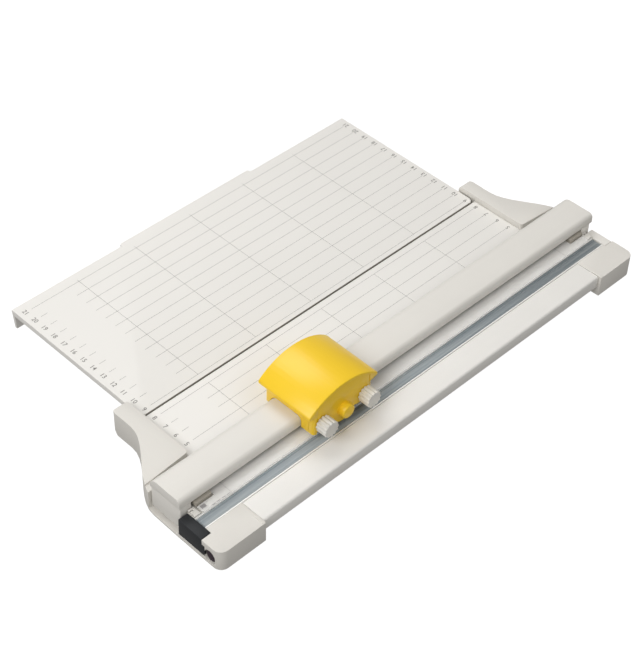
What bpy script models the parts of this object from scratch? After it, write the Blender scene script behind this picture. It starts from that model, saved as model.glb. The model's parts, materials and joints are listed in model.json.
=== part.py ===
"""A4 sliding disc-blade paper trimmer with a fold-under extension table.

Metres, +Z up, the bench at z = 0. +X runs from the paper table across the cutting line to the edge bar,
+Y runs along the rail. The origin is under the middle of the object's box.
"""

from math import atan2, cos, degrees, pi, radians, sin, sqrt

import bmesh
import bpy
from mathutils import Matrix, Vector

MM = 0.001

# Driving dimensions -------------------------------------------------------------------------------
CUT_X = 96.25 * MM              # the cutting line, x = 0 of the printed centimetre scale
TABLE_TOP = 17.0 * MM           # paper surface above the bench
BED_HALF = 154.0 * MM           # half the paper bed between the two guides: A4's long side and a margin
HALF_LENGTH = 192.0 * MM        # half the whole object along the rail
PRESS_TRAVEL = 1.8 * MM         # the rail's spring travel
SLIDER_Y = -66.5 * MM           # where the slider stands at rest
BLADE_RADIUS = 12.0 * MM
GAP = 0.3 * MM                  # clearance between touching pieces

# Places across the object, measured from the cutting line -----------------------------------------
EXTENSION_LEFT = CUT_X - 218.7 * MM
TABLE_LEFT = CUT_X - 85.2 * MM
EXTENSION_RIGHT = TABLE_LEFT - 0.8 * MM
FIN_LEFT = CUT_X - 102.0 * MM
FIN_RIGHT = CUT_X - 41.8 * MM
RAIL_LEFT = CUT_X - 36.0 * MM
RAIL_RIGHT = CUT_X - 9.5 * MM
CHANNEL_LEFT = CUT_X - 3.1 * MM
CHANNEL_RIGHT = CUT_X + 7.2 * MM
MAT_LEFT = CUT_X - 1.4 * MM
BAR_LEFT = CHANNEL_RIGHT + 0.4 * MM
BAR_RIGHT = CUT_X + 26.4 * MM
BLOCK_RIGHT = CUT_X + 28.45 * MM
SLIDER_LEFT = CUT_X - 42.8 * MM
SLIDER_RIGHT = CUT_X + 2.8 * MM

# Heights above the bench --------------------------------------------------------------------------
FRAME_BOTTOM = 0.8 * MM
TRAY_BOTTOM = 5.5 * MM
CHANNEL_BOTTOM = 9.2 * MM
BAR_BOTTOM = 8.0 * MM
LEG_BOTTOM = 2.4 * MM
HINGE_Z = TABLE_TOP / 2 + 0.5 * MM
HINGE_X = CUT_X - 93.5 * MM
RAIL_BOTTOM = 23.0 * MM
RAIL_SHOULDERS = (6.5 * MM, 3.4 * MM)    # the rounding of its left and right upper edges
RAIL_TOP = 30.2 * MM
STRIP_TOP = TABLE_TOP + PRESS_TRAVEL + 1.1 * MM
STRIP_THICKNESS = 1.0 * MM
SLIDER_TOP = 52.5 * MM
SLIDER_TIP = 41.0 * MM
MAT_TOP = TABLE_TOP - 0.7 * MM
BLADE_Z = MAT_TOP + PRESS_TRAVEL + 0.15 * MM + BLADE_RADIUS

# Lengths along the rail, as half lengths ----------------------------------------------------------
FRAME_INNER = BED_HALF + GAP
BLOCK_INNER = BED_HALF + 1.9 * MM
CHANNEL_HALF = 184.0 * MM
CAP_INNER = CHANNEL_HALF + GAP
RAIL_HALF = 189.7 * MM
RAIL_REAR = 191.2 * MM          # the rear end stands out a little further
END_BLOCK_INNER = 180.3 * MM
STRIP_HALF = 178.5 * MM
SLIDER_HALF = 29.7 * MM
SLIDER_BODY_HALF = 25.0 * MM

# Smaller pieces -----------------------------------------------------------------------------------
PIN_RADIUS = 2.5 * MM
AXLE_RADIUS = 2.0 * MM
STUD_RADIUS = 1.9 * MM
SCREW_RADIUS = 1.5 * MM
POST_RADIUS = 1.5 * MM
RUNNING_GAP = 0.3 * MM
KNOB_RADIUS = 5.9 * MM
KNOB_Z = 30.6 * MM
KNOB_OFFSET = 18.4 * MM
KNOB_END = CUT_X + 11.3 * MM
BOSS_RADIUS = 5.1 * MM
BOSS_END = CUT_X + 7.8 * MM
COVER_PLATE_LEFT = CUT_X + 1.2 * MM
COVER_PLATE_RIGHT = CUT_X + 2.5 * MM
POST_X = (RAIL_LEFT + RAIL_RIGHT) / 2
POST_V = 184.8 * MM
SCREW_XS = (CUT_X - 70 * MM, CUT_X - 28 * MM)
SCREW_V = 147 * MM
LOCK_X = CUT_X + 18.9 * MM
LOCK_Z = 7.6 * MM
BRACKET_RIGHT = RAIL_RIGHT + 2.2 * MM
BRACKET_NEAR = 166.0 * MM
CHANNEL_WALL = 0.8 * MM
CAP_RIGHT = CUT_X + 14.4 * MM
CAP_STEP_TOP = 12.8 * MM
CAP_STEP_DEPTH = 1.7 * MM
FIN_CORNER = 2.6 * MM

ENDS = {"front": -1, "rear": 1}


# Scene helpers ------------------------------------------------------------------------------------
def clear_scene():
    for obj in list(bpy.data.objects):
        bpy.data.objects.remove(obj)


def new_collection(name):
    collection = bpy.data.collections.new(name)
    bpy.context.scene.collection.children.link(collection)
    return collection


def material(name, colour, roughness, metallic=0.0):
    made = bpy.data.materials.new(name)
    made.use_nodes = True
    shader = made.node_tree.nodes["Principled BSDF"]
    shader.inputs["Base Color"].default_value = (*colour, 1.0)
    shader.inputs["Roughness"].default_value = roughness
    shader.inputs["Metallic"].default_value = metallic
    return made


def object_from_bmesh(name, bm):
    """A new object in the cutters' collection, until finish() makes it a part."""
    bmesh.ops.recalc_face_normals(bm, faces=bm.faces)
    mesh = bpy.data.meshes.new(name)
    bm.to_mesh(mesh)
    bm.free()
    obj = bpy.data.objects.new(name, mesh)
    CUTTERS.objects.link(obj)
    obj.hide_render = True
    obj.display_type = "WIRE"
    return obj


def finish(obj, surface, smooth_angle=30):
    """Makes obj a part: its collection, its material, its origin at its middle and smooth shading."""
    CUTTERS.objects.unlink(obj)
    PARTS.objects.link(obj)
    obj.hide_render = False
    obj.display_type = "TEXTURED"
    obj.data.materials.append(surface)
    corners = [Vector(corner) for corner in obj.bound_box]
    middle = (corners[0] + corners[6]) / 2
    obj.data.transform(Matrix.Translation(-middle))
    obj.location = middle
    obj.data.shade_smooth()
    obj.data.set_sharp_from_angle(angle=radians(smooth_angle))
    return obj


def cut(obj, *cutters):
    for cutter in cutters:
        modifier = obj.modifiers.new("cut " + cutter.name, "BOOLEAN")
        modifier.operation = "DIFFERENCE"
        modifier.object = cutter


def join(obj, *pieces):
    for piece in pieces:
        modifier = obj.modifiers.new("join " + piece.name, "BOOLEAN")
        modifier.operation = "UNION"
        modifier.object = piece


# Shapes -------------------------------------------------------------------------------------------
def box(name, x, y, z, rounding=0.0, segments=2, rounded=None):
    """A box between pairs of coordinates. rounded picks the edges to round, by their middle point."""
    bm = bmesh.new()
    bmesh.ops.create_cube(bm, size=1.0)
    size = Vector((abs(x[1] - x[0]), abs(y[1] - y[0]), abs(z[1] - z[0])))
    middle = Vector((sum(x) / 2, sum(y) / 2, sum(z) / 2))
    bmesh.ops.scale(bm, vec=size, verts=bm.verts)
    bmesh.ops.translate(bm, vec=middle, verts=bm.verts)
    if rounding:
        round_edges(bm, rounding, segments, rounded)
    return object_from_bmesh(name, bm)


def round_edges(bm, radius, segments, chosen=None):
    edges = [edge for edge in bm.edges if chosen is None or chosen(edge_middle(edge), edge_direction(edge))]
    bmesh.ops.bevel(
        bm, geom=edges, offset=radius, segments=segments, profile=0.5, affect="EDGES", clamp_overlap=True
    )


def edge_middle(edge):
    return (edge.verts[0].co + edge.verts[1].co) / 2


def edge_direction(edge):
    return (edge.verts[1].co - edge.verts[0].co).normalized()


def rod(name, axis, start, end, radius, sides=20, rounding=0.0):
    """A cylinder along 'X', 'Y' or 'Z' between two points that differ along that axis only."""
    start, end = Vector(start), Vector(end)
    turn = {"X": Matrix.Rotation(pi / 2, 4, "Y"), "Y": Matrix.Rotation(pi / 2, 4, "X"), "Z": Matrix()}[axis]
    bm = bmesh.new()
    bmesh.ops.create_cone(
        bm, cap_ends=True, segments=sides, radius1=radius, radius2=radius, depth=(end - start).length
    )
    if rounding:
        round_edges(bm, rounding, 2, lambda middle, along: abs(along.z) < 0.5)
    bmesh.ops.transform(bm, matrix=Matrix.Translation((start + end) / 2) @ turn, verts=bm.verts)
    return object_from_bmesh(name, bm)


# Where a curve's own X, Y and Z go for an outline extruded along each world axis.
EXTRUDE_TURNS = {
    "X": Matrix(((0, 0, 1, 0), (1, 0, 0, 0), (0, 1, 0, 0), (0, 0, 0, 1))),
    "Y": Matrix(((1, 0, 0, 0), (0, 0, -1, 0), (0, 1, 0, 0), (0, 0, 0, 1))),
    "Z": Matrix(),
}


def polyline_curve(name, dimensions, points):
    """A curve of one straight-sided spline through points."""
    curve = bpy.data.curves.new(name, "CURVE")
    curve.dimensions = dimensions
    spline = curve.splines.new("POLY")
    spline.points.add(len(points) - 1)
    for point, place in zip(spline.points, points):
        point.co = (*place, 1)
    return curve, spline


def bmesh_from_curve(curve):
    """The curve's filled and extruded surface as a bmesh. The curve is used up."""
    guide = bpy.data.objects.new(curve.name, curve)
    CUTTERS.objects.link(guide)
    mesh = bpy.data.meshes.new_from_object(guide.evaluated_get(bpy.context.evaluated_depsgraph_get()))
    bm = bmesh.new()
    bm.from_mesh(mesh)
    bpy.data.objects.remove(guide)
    bpy.data.meshes.remove(mesh)
    bmesh.ops.remove_doubles(bm, verts=bm.verts, dist=1e-6)
    return bm


def extrusion(name, axis, outline, start, end, rounding=0.0, segments=2, rounded=None):
    """An outline of (y, z), (x, z) or (x, y) points extruded along 'X', 'Y' or 'Z' from start to end."""
    curve, spline = polyline_curve(name, "2D", [(u, v, 0) for u, v in outline])
    spline.use_cyclic_u = True
    curve.fill_mode = "BOTH"
    curve.extrude = abs(end - start) / 2
    bm = bmesh_from_curve(curve)
    bmesh.ops.dissolve_limit(bm, angle_limit=radians(0.5), verts=bm.verts, edges=bm.edges)
    shift = {"X": (1, 0, 0), "Y": (0, 1, 0), "Z": (0, 0, 1)}[axis]
    place = Matrix.Translation(Vector(shift) * (start + end) / 2)
    bmesh.ops.transform(bm, matrix=place @ EXTRUDE_TURNS[axis], verts=bm.verts)
    if rounding:
        round_edges(bm, rounding, segments, rounded)
    return object_from_bmesh(name, bm)


def arc(centre, radius, start, end, steps):
    """Points on a circle from one angle to another, in degrees."""
    angles = [radians(start + (end - start) * i / steps) for i in range(steps + 1)]
    return [(centre[0] + radius * cos(a), centre[1] + radius * sin(a)) for a in angles]


def rounded_rectangle(u, v, radius, steps=4):
    (u0, u1), (v0, v1) = u, v
    return (
        arc((u1 - radius, v0 + radius), radius, -90, 0, steps)
        + arc((u1 - radius, v1 - radius), radius, 0, 90, steps)
        + arc((u0 + radius, v1 - radius), radius, 90, 180, steps)
        + arc((u0 + radius, v0 + radius), radius, 180, 270, steps)
    )


def turned(name, axis, place, profile, sides, ring=False):
    """A profile of (radius, height) points turned about a line along 'X' or 'Z' through place."""
    bm = bmesh.new()
    points = [bm.verts.new((radius, 0, height)) for radius, height in profile]
    ends = points[1:] + points[:1] if ring else points[1:]
    edges = [bm.edges.new(pair) for pair in zip(points, ends)]
    bmesh.ops.spin(
        bm, geom=points + edges, cent=(0, 0, 0), axis=(0, 0, 1), dvec=(0, 0, 0), angle=2 * pi, steps=sides
    )
    bmesh.ops.remove_doubles(bm, verts=bm.verts, dist=1e-6)
    turn = Matrix.Rotation(pi / 2, 4, "Y") if axis == "X" else Matrix()
    bmesh.ops.transform(bm, matrix=Matrix.Translation(Vector(place)) @ turn, verts=bm.verts)
    return object_from_bmesh(name, bm)


def coil(name, start, axis, length, radius, wire, turns):
    """A round compression spring from start along 'Y' or 'Z'."""
    per_turn = 10
    count = turns * per_turn
    rise = length - 2 * wire
    points = []
    for i in range(count + 1):
        angle = 2 * pi * i / per_turn
        height = wire + rise * i / count
        u, v = radius * cos(angle), radius * sin(angle)
        points.append((u, height, v) if axis == "Y" else (u, v, height))
    curve, _ = polyline_curve(name, "3D", points)
    curve.bevel_depth = wire
    curve.bevel_resolution = 1
    curve.use_fill_caps = True
    bm = bmesh_from_curve(curve)
    bmesh.ops.translate(bm, vec=Vector(start), verts=bm.verts)
    return object_from_bmesh(name, bm)


def axis_empty(name, place, parent=None):
    """An empty on a joint's axis, which carries the pieces that move on it."""
    empty = bpy.data.objects.new(name, None)
    empty.empty_display_size = 0.01
    empty.location = place
    PARTS.objects.link(empty)
    if parent:
        carry(parent, empty)
    return empty


def carry(parent, *children):
    bpy.context.view_layer.update()
    for child in children:
        child.parent = parent
        child.matrix_parent_inverse = parent.matrix_world.inverted()
    bpy.context.view_layer.update()


def along(side, near, far):
    """The y range of a piece that lies between two distances from the middle, at one end."""
    return sorted((side * near, side * far))


# The two moulded end frames -----------------------------------------------------------------------
def frame_outline(side):
    """The frame's plan: a narrow nose beside the extension that swells in an S to the full depth."""
    nose_depth = BED_HALF + 12.0 * MM
    swell_start = CUT_X - 82.0 * MM
    swell_end = CUT_X - 32.0 * MM
    full_depth = HALF_LENGTH - 0.4 * MM
    steps = 10
    points = [(FIN_LEFT + 1.5 * MM, FRAME_INNER), (FIN_LEFT, FRAME_INNER + 1.5 * MM)]
    points += arc((FIN_LEFT + 5 * MM, nose_depth - 5 * MM), 5 * MM, 180, 90, 4)
    for i in range(steps + 1):
        t = i / steps
        points.append(
            (
                swell_start + (swell_end - swell_start) * t,
                nose_depth + (full_depth - nose_depth) * t * t * (3 - 2 * t),
            )
        )
    points.append((CUT_X - 10 * MM, HALF_LENGTH))
    points += arc((BLOCK_RIGHT - 6 * MM, HALF_LENGTH - 6 * MM), 6 * MM, 90, 0, 5)
    inner_x = CHANNEL_RIGHT + GAP
    points += [(BLOCK_RIGHT, BLOCK_INNER), (inner_x, BLOCK_INNER), (inner_x, FRAME_INNER)]
    return [(x, side * depth) for x, depth in points]


def frame_cutters(name, side):
    """What is cut from the frame for its neighbours: the rail, the channel, the mat's cap and the bed."""
    beyond = HALF_LENGTH + 2 * MM
    roof = 24 * MM
    yield box(
        name + " low top",
        (FIN_RIGHT, BLOCK_RIGHT + MM),
        along(side, FRAME_INNER - 3 * MM, beyond),
        (TABLE_TOP, roof),
    )
    yield box(
        name + " rail pocket",
        (RAIL_LEFT - 0.7 * MM, RAIL_RIGHT + 0.7 * MM),
        along(side, END_BLOCK_INNER - 0.7 * MM, beyond),
        (2.4 * MM, roof),
    )
    yield box(
        name + " channel slot",
        (CHANNEL_LEFT - GAP, CHANNEL_RIGHT + GAP),
        along(side, FRAME_INNER - MM, CAP_INNER + 2 * MM),
        (CHANNEL_BOTTOM - GAP, roof),
    )
    notch_right = CUT_X + (12.2 if side < 0 else 9.3) * MM
    notch_bottom = (3.7 if side < 0 else 13.0) * MM
    yield box(
        name + " cap notch",
        (RAIL_RIGHT + 0.5 * MM, notch_right),
        along(side, CAP_INNER, beyond),
        (notch_bottom, roof),
    )


def fin_cutters(name, side):
    """What shapes the fin beside the paper: its sloping top, low nose, round corner and hinge relief."""
    slope = [(side * v, z * MM) for v, z in ((0.150, 21.8), (0.196, 17.3), (0.196, 30), (0.150, 30))]
    yield extrusion(name + " fin top", "X", slope, FIN_LEFT - 5 * MM, FIN_RIGHT)
    nose_outline = [
        (FIN_LEFT - MM, FRAME_BOTTOM - MM),
        (FIN_LEFT + 7 * MM, FRAME_BOTTOM - MM),
        (FIN_LEFT - MM, FRAME_BOTTOM + 7 * MM),
    ]
    across = along(side, FRAME_INNER - MM, BED_HALF + 15 * MM)
    yield extrusion(name + " nose", "Y", nose_outline, *across)
    bow_outline = [
        (FIN_LEFT - MM, TABLE_TOP + 5 * MM),
        (FIN_LEFT - MM, TABLE_TOP + 1.2 * MM),
        *arc((FIN_LEFT + 6 * MM, TABLE_TOP - 1.2 * MM), 6 * MM, 170, 110, 5),
        (FIN_LEFT + 4 * MM, TABLE_TOP + 5 * MM),
    ]
    yield extrusion(name + " nose top", "Y", bow_outline, *across)
    corner = FIN_CORNER
    middle = (FIN_RIGHT - corner, FRAME_INNER + corner)
    corner_outline = [(FIN_RIGHT + MM, middle[1]), *arc(middle, corner, 0, -90, 5)]
    corner_outline += [(middle[0], FRAME_INNER - MM), (FIN_RIGHT + MM, FRAME_INNER - MM)]
    yield extrusion(
        name + " fin corner", "Z", [(x, side * v) for x, v in corner_outline], TABLE_TOP, TABLE_TOP + 7 * MM
    )
    yield box(
        name + " hinge relief",
        (FIN_LEFT - MM, TABLE_LEFT),
        along(side, FRAME_INNER - MM, FRAME_INNER + 0.8 * MM),
        (0, TABLE_TOP + 0.7 * MM),
    )


def lock_cutters(name):
    """The recess of the mat's lock button, its spring's bore, and the pocket of the cap's step."""
    front = -HALF_LENGTH - 2 * MM
    recess = rounded_rectangle(
        (LOCK_X - 4.3 * MM, LOCK_X + 4.5 * MM), (LOCK_Z - 5.2 * MM, LOCK_Z + 5.2 * MM), 4.0 * MM
    )
    yield extrusion(name + " lock recess", "Y", recess, front, -182.6 * MM)
    yield rod(
        name + " lock bore", "Y", (LOCK_X, -184 * MM, LOCK_Z), (LOCK_X, -177.6 * MM, LOCK_Z), 2.4 * MM, 16
    )
    yield box(
        name + " step pocket",
        (CUT_X, CAP_RIGHT + GAP),
        (front, -HALF_LENGTH + CAP_STEP_DEPTH + GAP),
        (3.7 * MM, CAP_STEP_TOP + GAP),
    )


def frame_hollows(name, side):
    """The spaces left open underneath, as in any moulding."""
    hollows = {
        " block hollow": ((CUT_X + 11 * MM, CUT_X + 26 * MM), (0.1586, 0.1760), (0, 14.6 * MM)),
        " middle hollow": ((CUT_X - 44 * MM, CUT_X - 6 * MM), (0.1586, 0.1775), (0, 7.0 * MM)),
        " fin hollow": ((CUT_X - 65 * MM, CUT_X - 47 * MM), (0.1573, 0.1645), (0, 15.0 * MM)),
    }
    for label, (x, v, z) in hollows.items():
        yield box(name + label, x, along(side, *v), z)


def end_frame(end, side):
    name = end + "_end_frame"
    frame = extrusion(name, "Z", frame_outline(side), FRAME_BOTTOM, 22 * MM)
    cut(frame, *frame_cutters(name, side), *fin_cutters(name, side), *frame_hollows(name, side))
    if side < 0:
        cut(frame, *lock_cutters(name))
    collar = box(
        name + " collar",
        (BAR_RIGHT - 6.5 * MM, BLOCK_RIGHT),
        along(side, BLOCK_INNER, BLOCK_INNER + 2.2 * MM),
        (15 * MM, TABLE_TOP + 0.45 * MM),
        0.9 * MM,
        2,
        lambda middle, way: abs(way.y) > 0.9 and middle.x > BLOCK_RIGHT - MM and middle.z > TABLE_TOP,
    )
    tongue = box(
        name + " tongue",
        (CUT_X - 80 * MM, CUT_X - 20 * MM),
        along(side, BED_HALF - 14.5 * MM, FRAME_INNER + 2 * MM),
        (TRAY_BOTTOM + 2.4 * MM, TABLE_TOP - 1.8 * MM),
    )
    join(frame, collar, tongue)
    for x in SCREW_XS:
        hole_end = (x, side * SCREW_V, 13.6 * MM)
        cut(frame, rod(name + " screw hole", "Z", (x, side * SCREW_V, 5 * MM), hole_end, 1.8 * MM, 12))
    pin_start = (HINGE_X, side * (BED_HALF - MM), HINGE_Z)
    pin_end = (HINGE_X, side * (BED_HALF + 9.8 * MM), HINGE_Z)
    cut(frame, rod(name + " pin hole", "Y", pin_start, pin_end, PIN_RADIUS + RUNNING_GAP, 16))
    return finish(frame, SURFACES["body plastic"])


# The fixed bed ------------------------------------------------------------------------------------
def table_plate():
    """The printed sheet-steel table, folded down at both long edges."""
    sheet = 1.5 * MM
    left, right = TABLE_LEFT, CHANNEL_LEFT - 0.5 * MM
    outline = [
        (left, TRAY_BOTTOM),
        (left, TABLE_TOP - 0.5 * MM),
        (left + 0.5 * MM, TABLE_TOP),
        (right, TABLE_TOP),
        (right, 9.4 * MM),
        (right - sheet, 9.4 * MM),
        (right - sheet, TABLE_TOP - sheet),
        (left + sheet, TABLE_TOP - sheet),
        (left + sheet, TRAY_BOTTOM),
    ]
    plate = extrusion("table_plate", "Y", outline, -BED_HALF, BED_HALF)
    return finish(plate, SURFACES["printed sheet"])


def base_tray():
    """The moulded tray under the table, with two ribs and a wall at its left edge."""
    thickness = 2.0 * MM
    left = TABLE_LEFT + 1.8 * MM
    right = CHANNEL_RIGHT
    floor = TRAY_BOTTOM + thickness
    rib_left, rib_right = CHANNEL_LEFT + MM, CHANNEL_RIGHT - MM
    outline = [
        (left, TRAY_BOTTOM),
        (left, 15 * MM),
        (left + 1.6 * MM, 15 * MM),
        (left + 1.6 * MM, floor),
        (rib_left, floor),
        (rib_left, CHANNEL_BOTTOM - GAP),
        (rib_right, CHANNEL_BOTTOM - GAP),
        (rib_right, floor),
        (right, floor),
        (right, TRAY_BOTTOM),
    ]
    tray = extrusion("base_tray", "Y", outline, -BED_HALF + GAP, BED_HALF - GAP)
    for x in SCREW_XS:
        for side in ENDS.values():
            low, high = (x, side * SCREW_V, 4 * MM), (x, side * SCREW_V, 8 * MM)
            cut(tray, rod("tray hole", "Z", low, high, 1.8 * MM, 12))
    return finish(tray, SURFACES["body plastic"])


def edge_bar():
    """The hollow bar on the right of the cutting line, an inverted channel with turned-in lips."""
    wall = 1.6 * MM
    lip = 3.4 * MM
    inner_left, inner_right = BAR_LEFT + wall, BAR_RIGHT - wall
    outline = [
        (BAR_LEFT, BAR_BOTTOM),
        (BAR_LEFT, TABLE_TOP - 0.5 * MM),
        (BAR_LEFT + 0.5 * MM, TABLE_TOP),
        *arc((BAR_RIGHT - 1.6 * MM, TABLE_TOP - 1.6 * MM), 1.6 * MM, 90, 0, 3),
        (BAR_RIGHT, BAR_BOTTOM),
        (inner_right - lip, BAR_BOTTOM),
        (inner_right - lip, BAR_BOTTOM + wall),
        (inner_right, BAR_BOTTOM + wall),
        (inner_right, TABLE_TOP - 1.8 * MM),
        (inner_left, TABLE_TOP - 1.8 * MM),
        (inner_left, BAR_BOTTOM + wall),
        (inner_left + lip, BAR_BOTTOM + wall),
        (inner_left + lip, BAR_BOTTOM),
    ]
    half = BLOCK_INNER - GAP
    return finish(extrusion("edge_bar", "Y", outline, -half, half), SURFACES["body plastic"])


def mat_channel():
    """The aluminium channel that holds the cutting mat under the blade."""
    wall = CHANNEL_WALL
    lip_top = TABLE_TOP - 0.1 * MM
    outline = [
        (CHANNEL_LEFT, CHANNEL_BOTTOM),
        (CHANNEL_LEFT, lip_top),
        (MAT_LEFT - GAP, lip_top),
        (MAT_LEFT - GAP, CHANNEL_BOTTOM + wall),
        (CHANNEL_RIGHT - wall, CHANNEL_BOTTOM + wall),
        (CHANNEL_RIGHT - wall, lip_top),
        (CHANNEL_RIGHT, lip_top),
        (CHANNEL_RIGHT, CHANNEL_BOTTOM),
    ]
    channel = extrusion("mat_channel", "Y", outline, -CHANNEL_HALF, CHANNEL_HALF)
    return finish(channel, SURFACES["aluminium"])


def mat_end_stop():
    """The pale plug that closes the channel at the rear."""
    plug = box(
        "mat_end_stop",
        (RAIL_RIGHT + MM, CUT_X + 9.0 * MM),
        (CAP_INNER + GAP, HALF_LENGTH - 0.6 * MM),
        (13.3 * MM, TABLE_TOP),
        0.4 * MM,
        1,
    )
    return finish(plug, SURFACES["body plastic"])


def strip_stop(end, side):
    """The stop beside each end of the clamp strip: a ridge with a short leg and a broad tab."""
    left, leg_right = CUT_X - 9.2 * MM, CUT_X - 7.9 * MM
    tab_left, right = CUT_X - 7.1 * MM, CUT_X - 2.6 * MM
    near, ridge, far = STRIP_HALF + 0.9 * MM, STRIP_HALF + 2.4 * MM, CAP_INNER - 0.4 * MM
    outline = [
        (left, near),
        (right, near),
        (right, far),
        (tab_left, far),
        (tab_left, ridge),
        (leg_right, ridge),
        (leg_right, far),
        (left, far),
    ]
    places = [(x, side * v) for x, v in outline]
    stop = extrusion("strip_stop_" + end, "Z", places, TABLE_TOP + GAP, TABLE_TOP + 1.5 * MM)
    return finish(stop, SURFACES["body plastic"])


def foot(end, side, place, x, depth):
    name = "foot_" + end + "_" + place
    pad = rod(name, "Z", (x, side * depth, 0), (x, side * depth, FRAME_BOTTOM - GAP), 5 * MM, 24)
    return finish(pad, SURFACES["rubber"])


def frame_screw(end, side, place, x):
    """A pan-head screw from below, through the tray into a frame's tongue."""
    head, shank_top = 3.0 * MM, 8.0 * MM
    profile = [
        (0, shank_top),
        (SCREW_RADIUS, shank_top - 0.8 * MM),
        (SCREW_RADIUS, 0),
        (head, 0),
        (head, -0.5 * MM),
        (head * 0.7, -1.0 * MM),
        (0, -1.0 * MM),
    ]
    start = (x, side * SCREW_V, TRAY_BOTTOM - 0.2 * MM)
    screw = turned("frame_screw_" + end + "_" + place, "Z", start, profile, 12)
    return finish(screw, SURFACES["steel"])


def hinge_pin(end, side):
    start = (HINGE_X, side * (BED_HALF - 3.4 * MM), HINGE_Z)
    stop = (HINGE_X, side * (BED_HALF + 9.4 * MM), HINGE_Z)
    return finish(rod("hinge_pin_" + end, "Y", start, stop, PIN_RADIUS, 16), SURFACES["steel"])


def guide_post(end, side):
    start = (POST_X, side * POST_V, 2.7 * MM)
    stop = (POST_X, side * POST_V, 17 * MM)
    return finish(rod("rail_guide_post_" + end, "Z", start, stop, POST_RADIUS, 12), SURFACES["steel"])


def rail_spring(end, side):
    start = (POST_X, side * POST_V, 2.8 * MM)
    spring = coil("rail_spring_" + end, start, "Z", 16.6 * MM, 2.45 * MM, 0.35 * MM, 7)
    return finish(spring, SURFACES["steel"])


# The extension table ------------------------------------------------------------------------------
def extension_plate():
    """The fold-under table: a plate with a sloping leg, edge rims, a finger grip and two hinge lugs."""
    sheet = 2.2 * MM
    outline = [
        (EXTENSION_RIGHT, TABLE_TOP),
        (EXTENSION_LEFT + 0.6 * MM, TABLE_TOP),
        (EXTENSION_LEFT, TABLE_TOP - 0.6 * MM),
        (EXTENSION_LEFT + 2.1 * MM, LEG_BOTTOM),
        (EXTENSION_LEFT + 4.1 * MM, LEG_BOTTOM),
        (EXTENSION_LEFT + 2.4 * MM, TABLE_TOP - sheet),
        (EXTENSION_RIGHT, TABLE_TOP - sheet),
    ]
    half = BED_HALF - 0.3 * MM
    plate = extrusion(
        "extension_plate",
        "Y",
        outline,
        -half,
        half,
        4.5 * MM,
        4,
        lambda middle, way: abs(way.z) > 0.9 and abs(middle.x - EXTENSION_RIGHT) < MM,
    )
    grip = box(
        "grip",
        (EXTENSION_LEFT - 2.1 * MM, EXTENSION_LEFT + 1.5 * MM),
        (-60 * MM, 60 * MM),
        (TABLE_TOP - 3.4 * MM, TABLE_TOP),
        1.4 * MM,
        3,
        lambda middle, way: middle.x < EXTENSION_LEFT - 2 * MM and abs(way.z) > 0.9,
    )
    join(plate, grip)
    for end, side in ENDS.items():
        rim = box(
            "rim " + end,
            (EXTENSION_LEFT + 1.6 * MM, EXTENSION_RIGHT - 4 * MM),
            along(side, half - 1.6 * MM, half),
            (TABLE_TOP - 4.3 * MM, TABLE_TOP - MM),
        )
        lug_outline = arc((HINGE_X, HINGE_Z), 5.2 * MM, 180, 360, 8)
        lug_outline += [(HINGE_X + 5.2 * MM, TABLE_TOP - MM), (HINGE_X - 5.2 * MM, TABLE_TOP - MM)]
        lug = extrusion("lug " + end, "Y", lug_outline, *along(side, half - 3.4 * MM, half))
        hole = rod(
            "lug hole " + end,
            "Y",
            (HINGE_X, side * (half - 5 * MM), HINGE_Z),
            (HINGE_X, side * (half + MM), HINGE_Z),
            PIN_RADIUS + RUNNING_GAP,
            16,
        )
        join(plate, rim, lug)
        cut(plate, hole)
    return finish(plate, SURFACES["printed plastic"])


def leg_pad(end, side):
    """The rubber strip under each end of the extension's leg."""
    left = EXTENSION_LEFT + 2.1 * MM
    x, z = (left, left + 2 * MM), (0, LEG_BOTTOM - GAP)
    pad = box("leg_pad_" + end, x, along(side, 95 * MM, 138 * MM), z)
    return finish(pad, SURFACES["rubber"])


# The spring-lifted rail ---------------------------------------------------------------------------
def rail_profile(grow=0.0, bottom=RAIL_BOTTOM):
    """The rail's section with its round shoulders, grown all round for the slider's mouth."""
    left_round, right_round = (shoulder + grow for shoulder in RAIL_SHOULDERS)
    left, right, top = RAIL_LEFT - grow, RAIL_RIGHT + grow, RAIL_TOP + grow
    points = [(right, bottom)]
    points += arc((right - right_round, top - right_round), right_round, 0, 80, 5)
    points += arc((left + left_round, top - left_round), left_round, 100, 180, 5)
    points.append((left, bottom))
    return points


def rail_cover():
    """The moulded top of the rail: a shell with rounded, closed ends."""
    cover = extrusion(
        "rail_cover",
        "Y",
        rail_profile(),
        -RAIL_HALF,
        RAIL_REAR,
        2.0 * MM,
        3,
        lambda middle, way: abs(middle.y) > RAIL_HALF - MM and middle.z > RAIL_BOTTOM + MM,
    )
    wall = 2.2 * MM
    inside = box(
        "rail inside",
        (RAIL_LEFT + wall, RAIL_RIGHT - wall),
        (-END_BLOCK_INNER, END_BLOCK_INNER),
        (RAIL_BOTTOM - MM, RAIL_TOP - 2.4 * MM),
    )
    cut(cover, inside)
    return finish(cover, SURFACES["body plastic"])


def rail_core():
    """The steel channel inside the rail, which keeps it straight."""
    left, right = RAIL_LEFT + 3.0 * MM, RAIL_RIGHT - 3.0 * MM
    bottom, top, sheet = STRIP_TOP + 0.2 * MM, RAIL_TOP - 2.9 * MM, 1.4 * MM
    outline = [
        (left, bottom),
        (left, top),
        (right, top),
        (right, bottom),
        (right - 7 * MM, bottom),
        (right - 7 * MM, bottom + sheet),
        (right - sheet, bottom + sheet),
        (right - sheet, top - sheet),
        (left + sheet, top - sheet),
        (left + sheet, bottom + sheet),
        (left + 7 * MM, bottom + sheet),
        (left + 7 * MM, bottom),
    ]
    half = END_BLOCK_INNER - 0.5 * MM
    return finish(extrusion("rail_core", "Y", outline, -half, half), SURFACES["dark steel"])


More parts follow.
